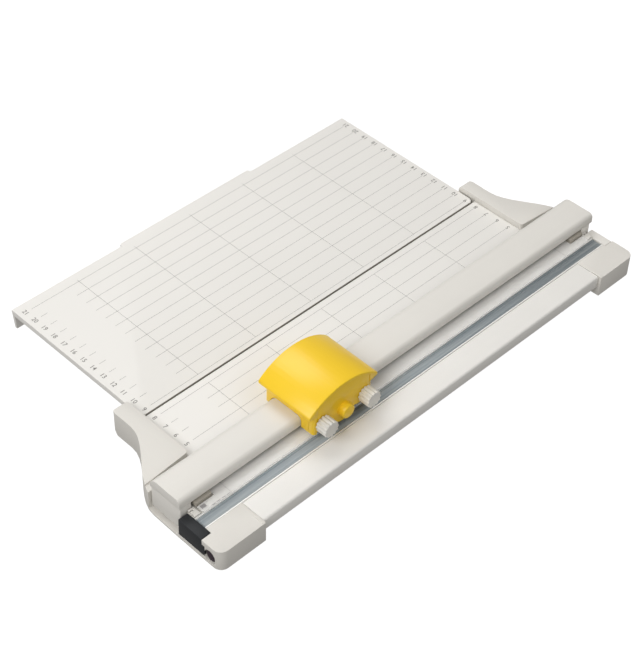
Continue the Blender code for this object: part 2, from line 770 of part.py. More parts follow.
def rail_end_block(end, side):
    """The block under each end of the rail, which slides on its guide post in the frame's pocket."""
    outer = RAIL_HALF - 0.5 * MM
    block = box(
        "rail_end_block_" + end,
        (RAIL_LEFT + 0.1 * MM, RAIL_RIGHT - 0.1 * MM),
        along(side, END_BLOCK_INNER, outer),
        (5.0 * MM, RAIL_BOTTOM - 0.3 * MM),
        0.6 * MM,
        2,
    )
    bore = rod(
        "post bore " + end,
        "Z",
        (POST_X, side * POST_V, 4 * MM),
        (POST_X, side * POST_V, 20 * MM),
        3.2 * MM,
        16,
    )
    cut(block, bore)
    return finish(block, SURFACES["body plastic"])


def clamp_strip():
    """The clear strip under the rail that holds the paper beside the blade, notched for the brackets."""
    strip = box(
        "paper_clamp_strip",
        (RAIL_LEFT + 6 * MM, CUT_X - 0.7 * MM),
        (-STRIP_HALF, STRIP_HALF),
        (STRIP_TOP - STRIP_THICKNESS, STRIP_TOP),
        2.0 * MM,
        3,
        lambda middle, way: abs(way.z) > 0.9 and middle.x > CUT_X - 5 * MM,
    )
    for end, side in ENDS.items():
        notch = box(
            "bracket notch " + end,
            (RAIL_LEFT, BRACKET_RIGHT + 0.6 * MM),
            along(side, BRACKET_NEAR - 0.7 * MM, STRIP_HALF + MM),
            (STRIP_TOP - 3 * MM, STRIP_TOP + 3 * MM),
        )
        cut(strip, notch)
    return finish(strip, SURFACES["clear plastic"])


def clamp_bracket(end, side):
    """The round-ended bracket that hangs the clamp strip under the rail."""
    left = RAIL_RIGHT - 2.7 * MM
    bracket = box(
        "clamp_bracket_" + end,
        (left, BRACKET_RIGHT),
        along(side, BRACKET_NEAR, END_BLOCK_INNER - 1.5 * MM),
        (STRIP_TOP - STRIP_THICKNESS, RAIL_BOTTOM - 1.1 * MM),
        1.2 * MM,
        3,
        lambda middle, way: abs(way.z) > 0.9 and middle.x > left + MM,
    )
    return finish(bracket, SURFACES["grey plastic"])


# The slider and its blade -------------------------------------------------------------------------
ARCH_SAG = SLIDER_TOP - SLIDER_TIP
ARCH_RADIUS = (SLIDER_HALF**2 + ARCH_SAG**2) / (2 * ARCH_SAG)
ARCH_CENTRE = (SLIDER_Y, SLIDER_TOP - ARCH_RADIUS)


def arch_arc(radius, half_width, steps):
    """Points along the slider's arch, from +Y to -Y, at a radius about the arch's centre."""
    reach = degrees(atan2(half_width, sqrt(radius**2 - half_width**2)))
    return arc(ARCH_CENTRE, radius, 90 - reach, 90 + reach, steps)


def slider_cover():
    """The arched grip over the rail, its two legs, and the recess for the blade cover on its right."""
    tip = 2.0 * MM
    wing_bottom = SLIDER_TIP - tip
    arch_outline = [(y, z) for y, z in reversed(arch_arc(ARCH_RADIUS, SLIDER_HALF, 18))]
    arch_outline += [
        (SLIDER_Y + SLIDER_HALF, wing_bottom),
        (SLIDER_Y + SLIDER_BODY_HALF - MM, wing_bottom - 1.5 * MM),
        (SLIDER_Y - SLIDER_BODY_HALF + MM, wing_bottom - 1.5 * MM),
        (SLIDER_Y - SLIDER_HALF, wing_bottom),
    ]
    cover = extrusion("slider_cover", "X", arch_outline, SLIDER_LEFT, SLIDER_RIGHT, 0.9 * MM, 2)
    near, far = SLIDER_Y - SLIDER_BODY_HALF, SLIDER_Y + SLIDER_BODY_HALF
    body_left = CUT_X - 39.8 * MM
    body = box(
        "slider body",
        (body_left, SLIDER_RIGHT - 0.4 * MM),
        (near, far),
        (22.6 * MM, 40 * MM),
        2.4 * MM,
        2,
        lambda middle, way: abs(way.z) > 0.9 and middle.x > CUT_X,
    )
    left_leg = box("left leg", (body_left, RAIL_LEFT + MM), (near + MM, far - MM), (20.4 * MM, 30 * MM))
    join(cover, body, left_leg)
    mouth = extrusion("mouth", "Y", rail_profile(0.6 * MM, 15 * MM), near - 8 * MM, far + 8 * MM)
    vault_outline = [(y, z) for y, z in reversed(arch_arc(ARCH_RADIUS - 2.6 * MM, 22 * MM, 10))]
    vault_outline += [(SLIDER_Y + 22 * MM, 29 * MM), (SLIDER_Y - 22 * MM, 29 * MM)]
    vault = extrusion("vault", "X", vault_outline, CUT_X - 37.4 * MM, CUT_X - 10.5 * MM)
    recess_outline = [(y, z) for y, z in reversed(arch_arc(ARCH_RADIUS - 1.9 * MM, 22.6 * MM, 10))]
    recess_outline += [(SLIDER_Y + 22.6 * MM, 20 * MM), (SLIDER_Y - 22.6 * MM, 20 * MM)]
    recess = extrusion("recess", "X", recess_outline, COVER_PLATE_LEFT - GAP, SLIDER_RIGHT + MM)
    slot = box(
        "blade slot",
        (CUT_X - 1.2 * MM, COVER_PLATE_LEFT),
        (SLIDER_Y - BLADE_RADIUS - 1.2 * MM, SLIDER_Y + BLADE_RADIUS + 1.2 * MM),
        (18 * MM, BLADE_Z + BLADE_RADIUS + 1.3 * MM),
    )
    cut(cover, mouth, vault, recess, slot)
    for y in (near, far):
        parting = box(
            "parting line",
            (CUT_X - 2.8 * MM, CUT_X - 2.5 * MM),
            (y - 0.3 * MM, y + 0.3 * MM),
            (20 * MM, wing_bottom - 1.5 * MM),
        )
        cut(cover, parting)
    axle_hole = rod(
        "axle hole", "X", (CUT_X - 6.6 * MM, SLIDER_Y, BLADE_Z), (CUT_X, SLIDER_Y, BLADE_Z), 2.3 * MM, 16
    )
    cut(cover, axle_hole)
    for offset in (-KNOB_OFFSET, KNOB_OFFSET):
        stud_hole = rod(
            "stud hole",
            "X",
            (CUT_X - 6.6 * MM, SLIDER_Y + offset, KNOB_Z),
            (COVER_PLATE_LEFT, SLIDER_Y + offset, KNOB_Z),
            STUD_RADIUS + GAP,
            12,
        )
        cut(cover, stud_hole)
    shoe_y = (SLIDER_Y - 9.3 * MM, SLIDER_Y + 9.3 * MM)
    for x in ((CUT_X - 38.6 * MM, RAIL_LEFT), (RAIL_RIGHT, CUT_X - 6.8 * MM)):
        cut(cover, box("shoe pocket", x, shoe_y, (18 * MM, 28.3 * MM)))
    return finish(cover, SURFACES["yellow plastic"])


def glide_shoe(place, side):
    """A slippery shoe in each leg, with a tongue under the rail cover's lower edge."""
    if side < 0:
        wall = (CUT_X - 38.3 * MM, RAIL_LEFT - GAP)
        tongue = (RAIL_LEFT - MM, RAIL_LEFT + 2.0 * MM)
    else:
        wall = (RAIL_RIGHT + GAP, CUT_X - 7.1 * MM)
        tongue = (RAIL_RIGHT - 2.0 * MM, RAIL_RIGHT + MM)
    y = (SLIDER_Y - 9 * MM, SLIDER_Y + 9 * MM)
    shoe = box("glide_shoe_" + place, wall, y, (20.6 * MM, 28 * MM))
    join(shoe, box("tongue " + place, tongue, y, (20.6 * MM, RAIL_BOTTOM - GAP)))
    return finish(shoe, SURFACES["white plastic"])


def blade_cover():
    """The side plate over the blade: a guard that follows the disc below, and the round axle boss."""
    guard_radius = BLADE_RADIUS - 1.3 * MM
    lower_edge = 26.0 * MM
    drop = BLADE_Z - lower_edge + 0.4 * MM
    reach = degrees(atan2(drop, sqrt(guard_radius**2 - drop**2)))
    outline = [(y, z) for y, z in reversed(arch_arc(ARCH_RADIUS - 2.2 * MM, 22.3 * MM, 10))]
    outline += [(SLIDER_Y + 22.3 * MM, lower_edge)]
    outline += arc((SLIDER_Y, BLADE_Z), guard_radius, -reach, reach - 180, 10)
    outline += [(SLIDER_Y - 22.3 * MM, lower_edge)]
    cover = extrusion("blade_cover", "X", outline, COVER_PLATE_LEFT, COVER_PLATE_RIGHT)
    boss = rod(
        "boss",
        "X",
        (COVER_PLATE_RIGHT - MM, SLIDER_Y, BLADE_Z),
        (BOSS_END, SLIDER_Y, BLADE_Z),
        BOSS_RADIUS,
        28,
        1.2 * MM,
    )
    join(cover, boss)
    bore = rod(
        "boss bore", "X", (CUT_X, SLIDER_Y, BLADE_Z), (BOSS_END - 1.6 * MM, SLIDER_Y, BLADE_Z), 2.3 * MM, 16
    )
    cut(cover, bore)
    for offset in (-KNOB_OFFSET, KNOB_OFFSET):
        hole = rod(
            "stud clearance",
            "X",
            (CUT_X, SLIDER_Y + offset, KNOB_Z),
            (COVER_PLATE_RIGHT + MM, SLIDER_Y + offset, KNOB_Z),
            STUD_RADIUS + GAP,
            12,
        )
        cut(cover, hole)
    return finish(cover, SURFACES["yellow plastic"])


def blade_axle():
    start = (CUT_X - 6.2 * MM, SLIDER_Y, BLADE_Z)
    stop = (BOSS_END - 2.0 * MM, SLIDER_Y, BLADE_Z)
    return finish(rod("blade_axle", "X", start, stop, AXLE_RADIUS, 16), SURFACES["steel"])


def blade_ring(name, outer, inner, half_width, taper):
    """A ring on the blade's axis that narrows towards its outer edge."""
    edge = half_width * 0.1
    profile = [(outer - taper, half_width), (outer, edge), (outer, -edge), (outer - taper, -half_width)]
    profile += [(inner, -half_width), (inner, half_width)]
    ring = turned(name, "X", (CUT_X, SLIDER_Y, BLADE_Z), profile, 48, ring=True)
    return finish(ring, SURFACES["steel"])


def thumb_knob(end, offset):
    """A fluted thumb nut that holds the blade cover on."""
    flutes = 12
    depth = 1.0 * MM
    steps = flutes * 6
    middle = (SLIDER_Y + offset, KNOB_Z)
    outline = []
    for i in range(steps):
        angle = 2 * pi * i / steps
        radius = KNOB_RADIUS - depth * (1 - abs(cos(flutes / 2 * angle)))
        outline.append((middle[0] + radius * cos(angle), middle[1] + radius * sin(angle)))
    start = SLIDER_RIGHT
    knob = extrusion("thumb_knob_" + end, "X", outline, start, KNOB_END)
    bore_end = (KNOB_END - 2.5 * MM, *middle)
    bore = rod("knob bore", "X", (start - MM, *middle), bore_end, STUD_RADIUS + GAP, 12)
    cut(knob, bore)
    return finish(knob, SURFACES["pale plastic"])


def knob_stud(end, offset):
    start = (CUT_X - 6.2 * MM, SLIDER_Y + offset, KNOB_Z)
    stop = (KNOB_END - 2.8 * MM, SLIDER_Y + offset, KNOB_Z)
    return finish(rod("knob_stud_" + end, "X", start, stop, STUD_RADIUS, 12), SURFACES["steel"])


# The slide-out mat and its lock -------------------------------------------------------------------
def cutting_mat():
    """The plastic strip under the blade, dished to a shallow V."""
    inset = CHANNEL_WALL + GAP
    right, bottom = CHANNEL_RIGHT - inset, CHANNEL_BOTTOM + inset
    dish = ((MAT_LEFT + right) / 2, MAT_TOP - 0.4 * MM)
    outline = [(MAT_LEFT, bottom), (MAT_LEFT, MAT_TOP), dish, (right, MAT_TOP), (right, bottom)]
    half = CHANNEL_HALF - GAP
    return finish(extrusion("cutting_mat", "Y", outline, -half, half), SURFACES["mat"])


def mat_end_cap():
    """The dark cap on the mat's front end: a plate with a thin step on its right, and a lip on top."""
    left, lip_right = CUT_X - 8.6 * MM, CUT_X + 11.8 * MM
    bottom, top = 4.0 * MM, TABLE_TOP + GAP
    outer = HALF_LENGTH - 0.1 * MM
    cap = box("mat_end_cap", (left, lip_right), (-outer, -outer + 4.6 * MM), (bottom, top))
    step_y = (-outer, -outer + CAP_STEP_DEPTH)
    step = box("mat cap step", (CUT_X, CAP_RIGHT), step_y, (bottom, CAP_STEP_TOP))
    lip = box(
        "mat cap lip",
        (left, lip_right),
        (-outer + 4 * MM, -CAP_INNER - GAP),
        (MAT_TOP - 2.0 * MM, top),
        0.6 * MM,
        2,
        lambda middle, way: abs(way.z) > 0.9 and middle.y > -186 * MM,
    )
    join(cap, step, lip)
    return finish(cap, SURFACES["black plastic"])


def mat_lock_button():
    """The round-ended button in the recess beside the cap, pushed in to free the mat."""
    width = (LOCK_X - 3.8 * MM, LOCK_X + 3.8 * MM)
    height = (LOCK_Z - 4.6 * MM, LOCK_Z + 4.6 * MM)
    button = extrusion(
        "mat_lock_button",
        "Y",
        rounded_rectangle(width, height, 3.6 * MM),
        -191.0 * MM,
        -186.0 * MM,
        0.5 * MM,
        1,
        lambda middle, way: middle.y < -190.9 * MM,
    )
    return finish(button, SURFACES["plum plastic"])


def lock_spring():
    spring = coil("lock_spring", (LOCK_X, -185.7 * MM, LOCK_Z), "Y", 7.8 * MM, 1.9 * MM, 0.25 * MM, 5)
    return finish(spring, SURFACES["steel"])


# Assembly -----------------------------------------------------------------------------------------
clear_scene()
PARTS = new_collection("disc_paper_trimmer")
CUTTERS = new_collection("cutters")
SURFACES = {
    "body plastic": material("body plastic", (0.76, 0.74, 0.69), 0.45),
    "printed sheet": material("printed sheet", (0.80, 0.78, 0.74), 0.40),
    "printed plastic": material("printed plastic", (0.80, 0.78, 0.74), 0.42),
    "grey plastic": material("grey plastic", (0.42, 0.40, 0.36), 0.5),
    "white plastic": material("white plastic", (0.85, 0.84, 0.80), 0.35),
    "pale plastic": material("pale plastic", (0.68, 0.66, 0.60), 0.4),
    "clear plastic": material("clear plastic", (0.86, 0.87, 0.87), 0.15),
    "yellow plastic": material("yellow plastic", (0.93, 0.56, 0.03), 0.35),
    "black plastic": material("black plastic", (0.035, 0.037, 0.04), 0.4),
    "plum plastic": material("plum plastic", (0.06, 0.045, 0.06), 0.4),
    "rubber": material("rubber", (0.05, 0.05, 0.05), 0.8),
    "mat": material("mat", (0.22, 0.28, 0.33), 0.25),
    "aluminium": material("aluminium", (0.80, 0.81, 0.82), 0.25, 1.0),
    "steel": material("steel", (0.62, 0.62, 0.63), 0.3, 1.0),
    "dark steel": material("dark steel", (0.20, 0.20, 0.20), 0.5, 1.0),
}

table_plate()
base_tray()
edge_bar()
mat_channel()
mat_end_stop()
lock_spring()
extension_axis = axis_empty("extension_fold_axis", (HINGE_X, 0, HINGE_Z))
rail_axis = axis_empty("rail_press_axis", (POST_X, 0, RAIL_TOP))
slider_axis = axis_empty("slider_travel_axis", (POST_X, SLIDER_Y, RAIL_TOP), rail_axis)
blade_axis = axis_empty("blade_spin_axis", (CUT_X, SLIDER_Y, BLADE_Z), slider_axis)
mat_axis = axis_empty("mat_slide_axis", (CUT_X, 0, MAT_TOP))
lock_axis = axis_empty("lock_button_axis", (LOCK_X, -191 * MM, LOCK_Z))

carry(extension_axis, extension_plate())
carry(rail_axis, rail_cover(), rail_core(), clamp_strip())
carry(slider_axis, slider_cover(), blade_cover(), blade_axle())
carry(slider_axis, glide_shoe("left", -1), glide_shoe("right", 1))
carry(blade_axis, blade_ring("blade_disc", BLADE_RADIUS, 4.2 * MM, 0.3 * MM, 1.4 * MM))
carry(blade_axis, blade_ring("blade_bush", 3.9 * MM, AXLE_RADIUS + RUNNING_GAP, 0.8 * MM, 0.3 * MM))
carry(mat_axis, cutting_mat(), mat_end_cap())
carry(lock_axis, mat_lock_button())

for end, side in ENDS.items():
    end_frame(end, side)
    strip_stop(end, side)
    hinge_pin(end, side)
    guide_post(end, side)
    rail_spring(end, side)
    foot(end, side, "left", CUT_X - 73 * MM, 161.0 * MM)
    foot(end, side, "right", CUT_X + 20 * MM, 185.5 * MM)
    frame_screw(end, side, "left", SCREW_XS[0])
    frame_screw(end, side, "right", SCREW_XS[1])
    carry(extension_axis, leg_pad(end, side))
    carry(rail_axis, rail_end_block(end, side), clamp_bracket(end, side))
    knob_axis = axis_empty(end + "_knob_axis", (CUT_X, SLIDER_Y + side * KNOB_OFFSET, KNOB_Z), slider_axis)
    carry(knob_axis, thumb_knob(end, side * KNOB_OFFSET), knob_stud(end, side * KNOB_OFFSET))
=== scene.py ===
"""Looks of the A4 disc-blade paper trimmer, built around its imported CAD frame.

Metres, +Z up. +X runs from the paper table across the cutting line, +Y along the rail to the rear.
"""

import json
from math import cos, pi, radians, sin

import bmesh
import bpy
from mathutils import Matrix, Vector


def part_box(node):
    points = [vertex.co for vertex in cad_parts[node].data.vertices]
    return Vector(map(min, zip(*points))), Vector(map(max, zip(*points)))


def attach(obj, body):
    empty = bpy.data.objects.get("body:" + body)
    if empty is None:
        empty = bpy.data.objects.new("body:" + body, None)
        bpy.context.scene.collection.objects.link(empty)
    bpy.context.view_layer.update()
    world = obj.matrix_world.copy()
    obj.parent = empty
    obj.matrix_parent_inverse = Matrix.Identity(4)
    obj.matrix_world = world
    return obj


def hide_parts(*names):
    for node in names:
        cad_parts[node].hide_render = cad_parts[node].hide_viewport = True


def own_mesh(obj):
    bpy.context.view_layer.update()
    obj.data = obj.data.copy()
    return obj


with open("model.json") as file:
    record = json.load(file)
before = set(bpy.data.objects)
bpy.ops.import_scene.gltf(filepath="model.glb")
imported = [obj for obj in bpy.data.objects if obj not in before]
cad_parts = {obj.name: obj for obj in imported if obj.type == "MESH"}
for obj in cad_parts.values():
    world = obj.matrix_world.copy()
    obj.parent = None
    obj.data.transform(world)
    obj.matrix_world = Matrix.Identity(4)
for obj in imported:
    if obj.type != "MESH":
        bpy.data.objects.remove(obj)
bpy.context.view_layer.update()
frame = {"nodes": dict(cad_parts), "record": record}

MM = 0.001

# Places read from the frame -----------------------------------------------------------------------
CUT_X = sum(corner.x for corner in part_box("blade_disc")) / 2
TABLE_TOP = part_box("table_plate")[1].z
BED_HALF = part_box("table_plate")[1].y


# Materials ----------------------------------------------------------------------------------------
class Nodes:
    """A material's node tree, with short calls for the nodes used here."""

    def __init__(self, name):
        self.material = bpy.data.materials.new(name)
        self.material.use_nodes = True
        self.tree = self.material.node_tree
        self.shader = self.tree.nodes["Principled BSDF"]
        self.place = self.add("ShaderNodeTexCoord").outputs["Object"]

    def add(self, kind, **settings):
        made = self.tree.nodes.new(kind)
        for key, value in settings.items():
            setattr(made, key, value)
        return made

    def link(self, start, end):
        self.tree.links.new(start, end)

    def set(self, **values):
        """Sets sockets of the shader: Base_Color=... for 'Base Color'."""
        for key, value in values.items():
            self.shader.inputs[key.replace("_", " ")].default_value = value

    def stretched(self, scale):
        """The object's coordinates scaled by a vector."""
        mapping = self.add("ShaderNodeMapping")
        mapping.inputs["Scale"].default_value = scale
        self.link(self.place, mapping.inputs["Vector"])
        return mapping.outputs["Vector"]

    def across(self):
        """The object's coordinate along X."""
        split = self.add("ShaderNodeSeparateXYZ")
        self.link(self.place, split.inputs["Vector"])
        return split.outputs["X"]

    def noise(self, size, detail=2.0, place=None):
        """Noise with features of about this size, 0 to 1."""
        noise = self.add("ShaderNodeTexNoise")
        noise.inputs["Scale"].default_value = 1 / size
        noise.inputs["Detail"].default_value = detail
        self.link(place or self.place, noise.inputs["Vector"])
        return noise.outputs["Fac"]

    def spread(self, value, low, high, start=0.0, end=1.0):
        """Maps start..end of a value to low..high."""
        ramp = self.add("ShaderNodeMapRange")
        ramp.inputs["From Min"].default_value = start
        ramp.inputs["From Max"].default_value = end
        ramp.inputs["To Min"].default_value = low
        ramp.inputs["To Max"].default_value = high
        self.link(value, ramp.inputs["Value"])
        return ramp.outputs["Result"]

    def maths(self, operation, first, second):
        node = self.add("ShaderNodeMath", operation=operation)
        for socket, value in zip(node.inputs, (first, second)):
            if isinstance(value, (int, float)):
                socket.default_value = value
            else:
                self.link(value, socket)
        return node.outputs["Value"]

    def blend(self, factor, first, second):
        """Two colours or links mixed by a factor link."""
        mix = self.add("ShaderNodeMix", data_type="RGBA")
        self.link(factor, mix.inputs["Factor"])
        for socket, value in ((mix.inputs[6], first), (mix.inputs[7], second)):
            if isinstance(value, tuple):
                socket.default_value = (*value, 1.0)
            else:
                self.link(value, socket)
        return mix.outputs[2]

    def edges(self, radius):
        """1 on sharp edges, 0 on flat faces: how far the rounded normal leans from the true one."""
        rounded = self.add("ShaderNodeBevel", samples=4)
        rounded.inputs["Radius"].default_value = radius
        flat = self.add("ShaderNodeNewGeometry").outputs["Normal"]
        dot = self.add("ShaderNodeVectorMath", operation="DOT_PRODUCT")
        self.link(rounded.outputs["Normal"], dot.inputs[0])
        self.link(flat, dot.inputs[1])
        return self.spread(dot.outputs["Value"], 1.0, 0.0, 0.80, 0.99)

    def bump(self, height, distance):
        bump = self.add("ShaderNodeBump")
        bump.inputs["Strength"].default_value = 1.0
        bump.inputs["Distance"].default_value = distance
        self.link(height, bump.inputs["Height"])
        return bump.outputs["Normal"]

    def finish(self, colour=None, roughness=None, normal=None):
        for value, name in ((colour, "Base Color"), (roughness, "Roughness"), (normal, "Normal")):
            if value is not None:
                self.link(value, self.shader.inputs[name])
        return self.material


def shade(colour, factor):
    """A colour made lighter or darker by a factor."""
    return tuple(min(1.0, channel * factor) for channel in colour)


def moulded(
    name, colour, roughness, grain=0.35 * MM, depth=0.012 * MM, mottle=0.03, edge=1.12, gloss=0.5
):
    """Moulded plastic: a fine spark-eroded grain, faint mottling, and edges lighter as wear and painted
    highlight.
    """
    nodes = Nodes(name)
    nodes.set(Specular_IOR_Level=gloss)
    broad = nodes.noise(35 * MM, 3.0)
    fine = nodes.noise(grain, 3.0)
    tone = nodes.blend(broad, shade(colour, 1 - mottle), shade(colour, 1 + mottle))
    speck = nodes.blend(nodes.spread(fine, 0.0, 0.5, 0.4, 0.8), tone, shade(colour, 0.94))
    # Wear and painted highlight: patches along the edges made lighter, by the edge factor.
    worn = nodes.maths("MULTIPLY", nodes.edges(0.5 * MM), nodes.spread(nodes.noise(6 * MM), 0.2, 0.9))
    tone_with_wear_and_painted_light = nodes.blend(worn, speck, shade(colour, edge))
    uneven = nodes.spread(fine, roughness - 0.05, roughness + 0.05)
    rough = nodes.maths("ADD", nodes.spread(broad, -0.04, 0.04), uneven)
    return nodes.finish(tone_with_wear_and_painted_light, rough, nodes.bump(fine, depth))


def printed(name, colour, roughness, seam_shade_from=None):
    """The lacquered, ruled bed: nearly smooth with a faint orange-peel, and painted seam shade right of
    a given x.
    """
    nodes = Nodes(name)
    nodes.set(Specular_IOR_Level=0.3)
    broad = nodes.noise(60 * MM, 2.0)
    peel = nodes.noise(1.2 * MM, 2.0)
    tone = nodes.blend(broad, shade(colour, 0.985), shade(colour, 1.015))
    # Wear and painted highlight: patches along the edges made lighter.
    worn = nodes.maths("MULTIPLY", nodes.edges(0.4 * MM), nodes.spread(nodes.noise(8 * MM), 0.2, 0.8))
    tone_with_wear_and_painted_light = nodes.blend(worn, tone, shade(colour, 1.1))
    if seam_shade_from is not None:
        # Painted shade: right of this x the colour goes dark, for the seam beside the table, which lies
        # in shadow.
        seam_shade = nodes.spread(nodes.across(), 0.0, 1.0, seam_shade_from, seam_shade_from + 0.1 * MM)
        tone_with_wear_and_painted_light = nodes.blend(seam_shade, tone_with_wear_and_painted_light, (0.25, 0.235, 0.205))
    rough = nodes.spread(peel, roughness - 0.06, roughness + 0.06)
    return nodes.finish(tone_with_wear_and_painted_light, rough, nodes.bump(peel, 0.006 * MM))


def metal(name, colour, roughness, grain_scale, depth=0.004 * MM, metallic=1.0):
    """Drawn or ground metal with its grain stretched along the drawing direction."""
    nodes = Nodes(name)
    nodes.set(Metallic=metallic)
    grain = nodes.noise(1.0, 3.0, nodes.stretched(grain_scale))
    broad = nodes.noise(18 * MM, 2.0)
    tone = nodes.blend(broad, shade(colour, 0.92), shade(colour, 1.06))
    # Wear and painted highlight: every edge made lighter.
    worn = nodes.blend(nodes.edges(0.3 * MM), tone, shade(colour, 1.2))
    rough = nodes.spread(grain, roughness - 0.08, roughness + 0.10)
    return nodes.finish(worn, rough, nodes.bump(grain, depth))


def rubber(name, colour):
    """Matt rubber with a little pale dust on it."""
    nodes = Nodes(name)
    fine = nodes.noise(0.6 * MM, 4.0)
    dust = nodes.spread(nodes.noise(9 * MM, 3.0), 0.0, 0.5, 0.45, 0.8)
    tone = nodes.blend(dust, colour, shade(colour, 1.8))
    return nodes.finish(tone, nodes.spread(fine, 0.7, 0.9), nodes.bump(fine, 0.03 * MM))


def clear_strip(name):
    """Clear plastic with a faint milkiness and fine scuffs along the paper's way."""
    nodes = Nodes(name)
    nodes.set(IOR=1.49)
    scuffs = nodes.noise(1.0, 3.0, nodes.stretched((900, 60, 900)))
    milk = nodes.noise(14 * MM, 2.0)
    tone = nodes.blend(milk, (0.82, 0.81, 0.785), (0.86, 0.85, 0.825))
    rim = nodes.edges(0.4 * MM)
    nodes.link(nodes.spread(rim, 0.55, 0.97), nodes.shader.inputs["Alpha"])
    edge = nodes.blend(rim, tone, (0.74, 0.74, 0.72))
    return nodes.finish(edge, nodes.spread(scuffs, 0.16, 0.34), nodes.bump(scuffs, 0.004 * MM))


def mat_plastic(name):
    """The blue-grey mat: satin, with a cut line worn in under the blade."""
    nodes = Nodes(name)
    nodes.set(Specular_IOR_Level=0.3)
    off_line = nodes.maths("ABSOLUTE", nodes.maths("SUBTRACT", nodes.across(), CUT_X), 0.0)
    line = nodes.spread(off_line, 1.0, 0.0, 0.12 * MM, 0.35 * MM)
    wear = nodes.maths("MULTIPLY", line, nodes.spread(nodes.noise(11 * MM, 3.0), 0.2, 0.8))
    broad = nodes.noise(30 * MM, 2.0)
    streaks = nodes.noise(1.0, 2.0, nodes.stretched((700, 9, 700)))
    dark = nodes.blend(broad, (0.265, 0.310, 0.340), (0.310, 0.355, 0.380))
    tone = nodes.blend(nodes.spread(streaks, 0.0, 1.0, 0.3, 0.7), dark, (0.42, 0.455, 0.465))
    scored = nodes.blend(wear, tone, (0.17, 0.20, 0.24))
    grain = nodes.noise(1.0, 3.0, nodes.stretched((1500, 40, 1500)))
    rough = nodes.spread(grain, 0.38, 0.52)
    height = nodes.maths("SUBTRACT", grain, wear)
    return nodes.finish(scored, rough, nodes.bump(height, 0.03 * MM))


def ink(name, colour):
    """The printed lines and numbers, a little uneven as screen printing is."""
    nodes = Nodes(name)
    patchy = nodes.noise(2.5 * MM, 3.0)
    tone = nodes.blend(patchy, shade(colour, 0.8), shade(colour, 1.2))
    return nodes.finish(tone, nodes.spread(patchy, 0.45, 0.6), nodes.bump(patchy, 0.003 * MM))


BODY = moulded("body_plastic_look", (0.79, 0.765, 0.715), 0.48, gloss=0.35)
FRAME = moulded("frame_look", (0.745, 0.72, 0.67), 0.48, gloss=0.35)
BAR = moulded("bar_look", (0.86, 0.84, 0.80), 0.48, gloss=0.35)
BED = (0.85, 0.83, 0.79)
SEAM_SHADE_WIDTH = 0.35 * MM      # how far the painted shade of the seam reaches in from the extension's edge, beside the table
PRINTED = printed("printed_look", BED, 0.46)
FOLDING = printed("folding_look", BED, 0.46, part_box("extension_plate")[1].x - SEAM_SHADE_WIDTH)
# edge=1.3 makes the slider's edges lighter: a painted highlight line along them.
YELLOW = moulded(
    "yellow_look", (1.0, 0.65, 0.022), 0.32, grain=0.5 * MM, depth=0.006 * MM, mottle=0.012, edge=1.3
)
# edge=1.2 makes the knobs' edges and crests lighter: painted highlights.
PALE = moulded("pale_look", (0.78, 0.76, 0.71), 0.38, edge=1.2)
GREY = moulded("grey_look", (0.40, 0.37, 0.315), 0.5)
WHITE = moulded("white_look", (0.85, 0.84, 0.80), 0.35)
# The black and plum edges are made much lighter: painted highlights along them.
BLACK = moulded("black_look", (0.029, 0.031, 0.034), 0.46, edge=2.6, gloss=0.22)
PLUM = moulded("plum_look", (0.030, 0.016, 0.027), 0.42, edge=2.0, gloss=0.22)
RUBBER = rubber("rubber_look", (0.045, 0.045, 0.047))
CLEAR = clear_strip("clear_look")
MAT = mat_plastic("mat_look")
INK = ink("ink_look", (0.21, 0.20, 0.185))
# This faint ink also draws the clear strip's dashes, which are painted shade.
FAINT = ink("faint_ink_and_painted_shade_look", (0.30, 0.285, 0.285))
ALUMINIUM = metal("aluminium_look", (0.95, 0.935, 0.90), 0.40, (1500, 30, 1500), metallic=0.1)
STEEL = metal("steel_look", (0.66, 0.66, 0.67), 0.26, (700, 700, 60))
DARK_STEEL = metal("dark_steel_look", (0.16, 0.16, 0.16), 0.45, (900, 30, 900))

LOOKS = {
    "body_plastic": BODY,
    "printed_sheet": PRINTED,
    "printed_plastic": PRINTED,
    "yellow_plastic": YELLOW,
    "pale_plastic": PALE,
    "grey_plastic": GREY,
    "white_plastic": WHITE,
    "black_plastic": BLACK,
    "plum_plastic": PLUM,
    "rubber": RUBBER,
    "clear_plastic": CLEAR,
    "mat": MAT,
    "aluminium": ALUMINIUM,
    "steel": STEEL,
    "dark_steel": DARK_STEEL,
}

# Nodes whose finish is a shade off their slot's.
NODE_LOOKS = {
    "front_end_frame": FRAME,
    "rear_end_frame": FRAME,
    "edge_bar": BAR,
    # Its look has painted shade along its edge, by the seam beside the table.
    "extension_plate": FOLDING,
}

WELD_DISTANCE = 0.002 * MM     # corners this near are joined, so that faces meet
FLAT_ANGLE = 0.5               # degrees between faces that become one
SHARP_ANGLE = 35               # edges sharper than this are rounded
SMOOTH_ANGLE = 32              # edges blunter than this are shaded smooth

# How far each node's edges are rounded, where the frame keeps them sharp.
ROUNDING = {
    "front_end_frame": 0.45 * MM,
    "rear_end_frame": 0.45 * MM,
    "base_tray": 0.3 * MM,
    "table_plate": 0.3 * MM,
    "extension_plate": 0.35 * MM,
    "leg_pad_front": 0.2 * MM,
    "leg_pad_rear": 0.2 * MM,
    "edge_bar": 0.5 * MM,
    "rail_cover": 0.4 * MM,
    "rail_end_block_front": 0.3 * MM,
    "rail_end_block_rear": 0.3 * MM,
    "slider_cover": 0.8 * MM,
    "blade_cover": 1.2 * MM,
    "thumb_knob_front": 0.35 * MM,
    "thumb_knob_rear": 0.35 * MM,
    "mat_end_cap": 0.35 * MM,
    "mat_lock_button": 0.3 * MM,
    "mat_end_stop": 0.2 * MM,
    "mat_channel": 0.1 * MM,
    "paper_clamp_strip": 0.15 * MM,
    "clamp_bracket_front": 0.3 * MM,
    "clamp_bracket_rear": 0.3 * MM,
    "strip_stop_front": 0.2 * MM,
    "strip_stop_rear": 0.2 * MM,
}


